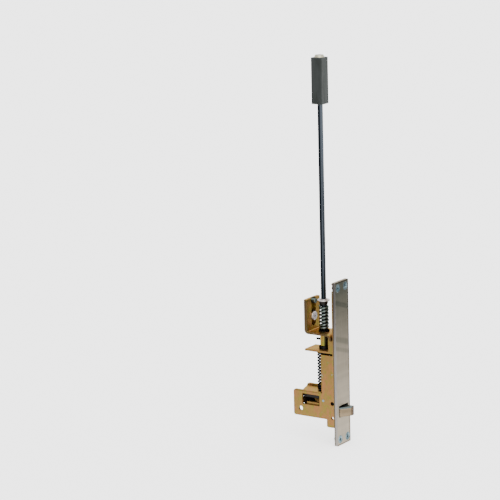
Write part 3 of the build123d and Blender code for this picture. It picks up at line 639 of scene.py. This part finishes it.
class FlushBoltSizes(bpy.types.PropertyGroup):
    """Sizes of the pieces that are made here."""

    return_wire: FloatProperty(
        name="Return wire", description="Wire of the return spring", default=0.00155, unit="LENGTH",
    )
    return_turns: FloatProperty(
        name="Return turns", description="Turns of the return spring", default=13.0,
    )
    override_wire: FloatProperty(
        name="Override wire", description="Wire of the override spring", default=0.0023, unit="LENGTH",
    )
    override_turns: FloatProperty(
        name="Override turns", description="Turns of the override spring", default=7.4,
    )
    screw_head: FloatProperty(
        name="Screw head", description="Radius of the faceplate screws' heads",
        default=0.0042, unit="LENGTH",
    )
    screw_neck: FloatProperty(
        name="Screw neck", description="Radius of the plain neck under the heads",
        default=0.0023, unit="LENGTH",
    )
    screw_shank: FloatProperty(
        name="Screw shank", description="Radius of the faceplate screws' shanks",
        default=0.00208, unit="LENGTH",
    )
    screw_head_height: FloatProperty(
        name="Screw head height", description="Height of the faceplate screws' heads",
        default=0.0025, unit="LENGTH",
    )
    screw_neck_end: FloatProperty(
        name="Screw neck end", description="Depth at which the plain neck ends",
        default=0.0036, unit="LENGTH",
    )
    recess_reach: FloatProperty(
        name="Recess reach", description="Reach of the cross recess from its middle",
        default=0.0024, unit="LENGTH",
    )
    recess_half_width: FloatProperty(
        name="Recess half width", description="Half the width of the recess's wings",
        default=0.0008, unit="LENGTH",
    )
    recess_depth: FloatProperty(
        name="Recess depth", description="Depth of the cross recess in its middle",
        default=0.0016, unit="LENGTH",
    )
    screw_pitch: FloatProperty(
        name="Thread pitch", description="Pitch of the faceplate screws' threads",
        default=0.0008, unit="LENGTH",
    )


class FlushBoltLooks(bpy.types.PropertyGroup):
    """Colours of the finishes and the strength of the light."""

    steel: FloatVectorProperty(
        name="Steel", description="Faceplate", subtype="COLOR", default=(0.41, 0.36, 0.285),
    )
    # Painted shade on the upper end of the faceplate.
    steel_painted_shade: FloatVectorProperty(
        name="Steel, upper end", description="Upper end of the faceplate",
        subtype="COLOR", default=(0.155, 0.16, 0.13),
    )
    steel_edge: FloatVectorProperty(
        name="Steel, sides", description="Sides of the faceplate",
        subtype="COLOR", default=(0.34, 0.32, 0.31),
    )
    gold: FloatVectorProperty(
        name="Gold", description="Yellow zinc", subtype="COLOR", default=(0.325, 0.20, 0.06),
    )
    gold_pink: FloatVectorProperty(
        name="Gold, pink", description="Pink tint of the yellow zinc",
        subtype="COLOR", default=(0.39, 0.19, 0.075),
    )
    gold_pale: FloatVectorProperty(
        name="Gold, pale", description="Pale bluish stains on the yellow zinc",
        subtype="COLOR", default=(0.36, 0.36, 0.33),
    )
    gold_edge: FloatVectorProperty(
        name="Gold, edges", description="Brown tone along the edges of the sheet",
        subtype="COLOR", default=(0.17, 0.09, 0.03),
    )
    # Brown painted shade in corners, and the painted shadow line at the faceplate's back.
    gold_painted_shade: FloatVectorProperty(
        name="Gold, deep", description="Brown tone in corners and at the faceplate's back",
        subtype="COLOR", default=(0.085, 0.058, 0.028),
    )
    sheared: FloatVectorProperty(
        name="Sheared edge", description="Dark cut edges of the slide bracket",
        subtype="COLOR", default=(0.12, 0.08, 0.042),
    )
    gold_olive: FloatVectorProperty(
        name="Gold, olive", description="Olive tint of the yellow zinc",
        subtype="COLOR", default=(0.285, 0.225, 0.05),
    )
    blue_zinc: FloatVectorProperty(
        name="Blue zinc", description="Faceplate screws", subtype="COLOR", default=(0.28, 0.39, 0.43),
    )
    blue_zinc_shade: FloatVectorProperty(
        name="Blue zinc, shade", description="Darker tone of the screws",
        subtype="COLOR", default=(0.09, 0.16, 0.19),
    )
    zinc: FloatVectorProperty(
        name="Zinc", description="Collar washer, clamp screw, nut and rivets",
        subtype="COLOR", default=(0.66, 0.61, 0.60),
    )
    zinc_shade: FloatVectorProperty(
        name="Zinc, shade", description="Darker tone of the zinc",
        subtype="COLOR", default=(0.48, 0.45, 0.45),
    )
    grey_zinc: FloatVectorProperty(
        name="Grey zinc", description="Override spring and guide stud",
        subtype="COLOR", default=(0.14, 0.17, 0.16),
    )
    grey_zinc_shade: FloatVectorProperty(
        name="Grey zinc, shade", description="Darker tone of the grey zinc",
        subtype="COLOR", default=(0.09, 0.115, 0.10),
    )
    # Also the painted shade on the push sleeve's front and in the screws' recesses.
    black: FloatVectorProperty(
        name="Black", description="Oiled black steel", subtype="COLOR", default=(0.02, 0.02, 0.02),
    )
    black_shade: FloatVectorProperty(
        name="Black, shade", description="Darker tone of the black steel",
        subtype="COLOR", default=(0.008, 0.008, 0.009),
    )
    dark_steel: FloatVectorProperty(
        name="Dark steel", description="Trigger's tail, spring collar and crank pins",
        subtype="COLOR", default=(0.035, 0.032, 0.03),
    )
    dark_steel_shade: FloatVectorProperty(
        name="Dark steel, shade", description="Darker tone of the dark steel",
        subtype="COLOR", default=(0.02, 0.018, 0.017),
    )
    # Painted highlight on the front of the rod.
    rod: FloatVectorProperty(
        name="Rod", description="Paler front of the zinc rod",
        subtype="COLOR", default=(0.095, 0.11, 0.13),
    )
    # The rod's dark zinc, darkened with painted shade.
    rod_painted_shade: FloatVectorProperty(
        name="Rod, shade", description="Darker tone of the rod",
        subtype="COLOR", default=(0.004, 0.009, 0.014),
    )
    head: FloatVectorProperty(
        name="Head", description="Square bolt head", subtype="COLOR", default=(0.041, 0.047, 0.045),
    )
    head_shade: FloatVectorProperty(
        name="Head, shade", description="Darker tone of the head",
        subtype="COLOR", default=(0.030, 0.035, 0.032),
    )
    tip: FloatVectorProperty(
        name="Tip", description="Tip of the bolt", subtype="COLOR", default=(0.46, 0.44, 0.33),
    )
    tip_shade: FloatVectorProperty(
        name="Tip, shade", description="Darker tone of the tip",
        subtype="COLOR", default=(0.36, 0.34, 0.25),
    )
    trigger: FloatVectorProperty(
        name="Trigger", description="Trigger block", subtype="COLOR", default=(0.36, 0.27, 0.17),
    )
    trigger_shade: FloatVectorProperty(
        name="Trigger, shade", description="Darker tone of the trigger",
        subtype="COLOR", default=(0.26, 0.195, 0.12),
    )
    # Painted bluish reflection on the trigger's upper faces.
    trigger_painted_top: FloatVectorProperty(
        name="Trigger, top", description="Bluish upper face of the trigger",
        subtype="COLOR", default=(0.10, 0.125, 0.125),
    )
    floor: FloatVectorProperty(
        name="Floor", description="Pale floor", subtype="COLOR", default=(0.9, 0.9, 0.9),
    )
    flag: FloatVectorProperty(
        name="Flags", description="Grey cards at the sides, seen in reflections alone",
        subtype="COLOR", default=(0.2, 0.2, 0.2),
    )
    flag_dark: FloatVectorProperty(
        name="Front flag", description="Darker card at the front, seen in reflections alone",
        subtype="COLOR", default=(0.015, 0.015, 0.015),
    )
    backlight: FloatProperty(
        name="Floor glow", description="How far the floor is burnt out", default=1.5,
    )
    daylight: FloatProperty(
        name="Surrounding light", description="Strength of the even light", default=1.85,
    )
    overhead: FloatProperty(
        name="Overhead light", description="Strength of the wide soft light", default=2.0,
    )


class FLUSHBOLT_OT_stage(bpy.types.Operator):
    """Make the floor, the cards for the reflections, the soft light and the camera"""

    bl_idname = "flush_bolt.stage"
    bl_label = "Stage"

    def execute(self, context):
        looks = context.scene.flush_bolt_looks
        lowest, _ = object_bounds()
        floor_half = 14.0
        floor_z = lowest.z - 0.0002
        quarters = ((-1, -1), (1, -1), (1, 1), (-1, 1))
        corners = [(floor_half * x, floor_half * y, floor_z) for x, y in quarters]
        finish = Finish("pale_floor", Roughness=0.9, Emission_Strength=looks.backlight)
        surface = finish.surface(Base_Color=opaque(looks.floor), Emission_Color=(1.0, 1.0, 1.0, 1.0))
        floor = new_card("floor", corners, surface)
        floor.visible_diffuse = False
        floor.visible_glossy = False

        # Name, foot, half width, top and colour of each card that only reflections show.
        flags = (
            ("flag_right", Vector((0.356, -0.241, 0)), 0.22, 0.10, looks.flag),
            ("flag_front", Vector((0.0, -0.42, 0)), 0.36, 0.10, looks.flag_dark),
            ("flag_left", Vector((-0.348, 0.236, 0)), 0.22, 0.36, looks.flag),
        )
        for name, foot, half_width, top, colour in flags:
            along = Vector((-foot.y, foot.x, 0)).normalized() * half_width
            left, right = foot - along, foot + along
            corners = [(left.x, left.y, lowest.z), (right.x, right.y, lowest.z),
                       (right.x, right.y, top), (left.x, left.y, top)]
            surface = Finish(name, Roughness=1.0).surface(Base_Color=opaque(colour))
            flag = new_card(name, corners, surface)
            flag.visible_camera = False
            flag.visible_diffuse = False
            flag.visible_shadow = False

        world = bpy.data.worlds.new("studio")
        world.use_nodes = True
        background = world.node_tree.nodes["Background"]
        background.inputs["Color"].default_value = (1.0, 1.0, 1.0, 1.0)
        background.inputs["Strength"].default_value = looks.daylight
        context.scene.world = world

        lamp = bpy.data.lights.new("overhead", "SUN")
        lamp.energy = looks.overhead
        lamp.angle = 1.0
        overhead = bpy.data.objects.new("overhead", lamp)
        overhead.rotation_euler = Vector((-0.55, -0.5, 0.8)).to_track_quat("Z", "Y").to_euler()
        context.scene.collection.objects.link(overhead)

        # The camera is fitted on the faceplate's corners and the square head in the photograph.
        view = bpy.data.cameras.new("camera")
        view.sensor_width = 36.0
        view.lens = 153.94
        view.clip_start = 0.05
        view.clip_end = 60.0
        camera = bpy.data.objects.new("camera", view)
        stand = Vector((-1.798278, -1.112313, 0.565748))
        turns = Euler((radians(78.07257), radians(1.42127), radians(-56.15243)))
        camera.matrix_world = Matrix.LocRotScale(stand, turns, None)
        context.scene.collection.objects.link(camera)
        context.scene.camera = camera
        return {"FINISHED"}


class FLUSHBOLT_OT_case(bpy.types.Operator):
    """Finish the faceplate, the case and what is fixed in it"""

    bl_idname = "flush_bolt.case"
    bl_label = "Case"

    def execute(self, context):
        dress(
            context.scene.flush_bolt_looks,
            "faceplate", "near_side_plate", "far_side_plate", "guide_bracket", "guide_rivets",
            "trigger_guide_rivet", "crank_pivot", "crank_ring",
        )
        return {"FINISHED"}


class FLUSHBOLT_OT_screws(bpy.types.Operator):
    """Make the four faceplate screws, with cross recesses and threads"""

    bl_idname = "flush_bolt.screws"
    bl_label = "Faceplate screws"

    def execute(self, context):
        sizes = context.scene.flush_bolt_sizes
        looks = context.scene.flush_bolt_looks
        low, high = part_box("faceplate_screws")
        head = sizes.screw_head
        # How far each screw's recess is turned, in radians.
        turns = (0.35, 1.1, 0.15, 0.75)
        spots = []
        for x in (low.x + head, high.x - head):
            for z in (low.z + head, high.z - head):
                spots.append((x, z))
        bm = bmesh.new()
        for (x, z), turn in zip(spots, turns):
            place = Matrix.Translation((x, low.y, z)) @ Matrix.Rotation(pi / 2, 4, "X")
            screw_mesh(bm, place, turn, high.y - low.y, sizes)
        piece = new_piece("cross_recess_screws", bm, "zinc_screw", looks, "case")
        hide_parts("faceplate_screws")
        return {"FINISHED"}


class FLUSHBOLT_OT_springs(bpy.types.Operator):
    """Wind the return spring and the override spring"""

    bl_idname = "flush_bolt.springs"
    bl_label = "Springs"

    def execute(self, context):
        sizes = context.scene.flush_bolt_sizes
        looks = context.scene.flush_bolt_looks
        wire_sides = 14
        springs = (
            ("return_coil", "return_spring", "case", sizes.return_wire, sizes.return_turns,
             "black_steel", "slide_lift", True),
            ("override_coil", "override_spring", "slide", sizes.override_wire, sizes.override_turns,
             "grey_zinc", "rod_override", False),
        )
        for name, node, body, wire, turns, slot, joint, held_above in springs:
            low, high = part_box(node)
            coil_radius = (high.x - low.x - wire) / 2
            centre = (low.y + high.y) / 2
            bm = bmesh.new()
            points = spring_points(centre, low.z, high.z, coil_radius, wire, turns)
            tube_rings(bm, points, wire / 2, wire_sides)
            piece = new_piece(name, bm, slot, looks, body)
            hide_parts(node)
            length = high.z - low.z
            throw = travel(joint)
            (length - throw) / length
            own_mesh(piece)
        return {"FINISHED"}


class FLUSHBOLT_OT_slide(bpy.types.Operator):
    """Finish the slide bracket, the push sleeve and what they carry"""

    bl_idname = "flush_bolt.slide"
    bl_label = "Slide"

    def execute(self, context):
        dress(
            context.scene.flush_bolt_looks,
            "clamp_plate", "clamp_screw", "clamp_nut", "guide_stud",
            "stop_ring", "cross_pin", "seat_washer", "seat_ring", "override_seat",
        )
        dress(context.scene.flush_bolt_looks, "slide_bracket", variant="sheared_zinc")
        dress(context.scene.flush_bolt_looks, "push_sleeve", variant="turned_zinc")
        return {"FINISHED"}


class FLUSHBOLT_OT_bolt(bpy.types.Operator):
    """Finish the rod, its collar and the square head"""

    bl_idname = "flush_bolt.bolt"
    bl_label = "Bolt"

    def execute(self, context):
        dress(
            context.scene.flush_bolt_looks,
            "rod", "spring_collar", "collar_washer", "collar_clip", "bolt_head", "bolt_tip",
        )
        return {"FINISHED"}


class FLUSHBOLT_OT_trigger(bpy.types.Operator):
    """Finish the trigger, its tail and the bell crank"""

    bl_idname = "flush_bolt.trigger"
    bl_label = "Trigger and crank"

    def execute(self, context):
        dress(
            context.scene.flush_bolt_looks,
            "trigger_block", "trigger_tail", "trigger_rivets", "bell_crank", "crank_pin",
        )
        return {"FINISHED"}


class FLUSHBOLT_PT_panel(bpy.types.Panel):
    """List the steps that make the flush bolt"""

    bl_idname = "FLUSHBOLT_PT_panel"
    bl_label = "Flush bolt"
    bl_space_type = "VIEW_3D"
    bl_region_type = "UI"
    bl_category = "Flush bolt"

    def draw(self, context):
        for step in steps:
            self.layout.operator(step.bl_idname)
        for group in (context.scene.flush_bolt_sizes, context.scene.flush_bolt_looks):
            for name in group.__annotations__:
                self.layout.prop(group, name)


steps = (
    FLUSHBOLT_OT_stage,
    FLUSHBOLT_OT_case,
    FLUSHBOLT_OT_screws,
    FLUSHBOLT_OT_springs,
    FLUSHBOLT_OT_slide,
    FLUSHBOLT_OT_bolt,
    FLUSHBOLT_OT_trigger,
)


def register():
    for group in (FlushBoltSizes, FlushBoltLooks):
        bpy.utils.register_class(group)
    for kind in (*steps, FLUSHBOLT_PT_panel):
        bpy.utils.register_class(kind)
    bpy.types.Scene.flush_bolt_sizes = PointerProperty(type=FlushBoltSizes)
    bpy.types.Scene.flush_bolt_looks = PointerProperty(type=FlushBoltLooks)


def unregister():
    del bpy.types.Scene.flush_bolt_looks
    del bpy.types.Scene.flush_bolt_sizes
    for kind in (FLUSHBOLT_PT_panel, *reversed(steps)):
        bpy.utils.unregister_class(kind)
    for group in (FlushBoltLooks, FlushBoltSizes):
        bpy.utils.unregister_class(group)


def main():
    register()
    bpy.ops.flush_bolt.stage()
    bpy.ops.flush_bolt.case()
    bpy.ops.flush_bolt.screws()
    bpy.ops.flush_bolt.springs()
    bpy.ops.flush_bolt.slide()
    bpy.ops.flush_bolt.bolt()
    bpy.ops.flush_bolt.trigger()


if __name__ == "__main__":
    main()
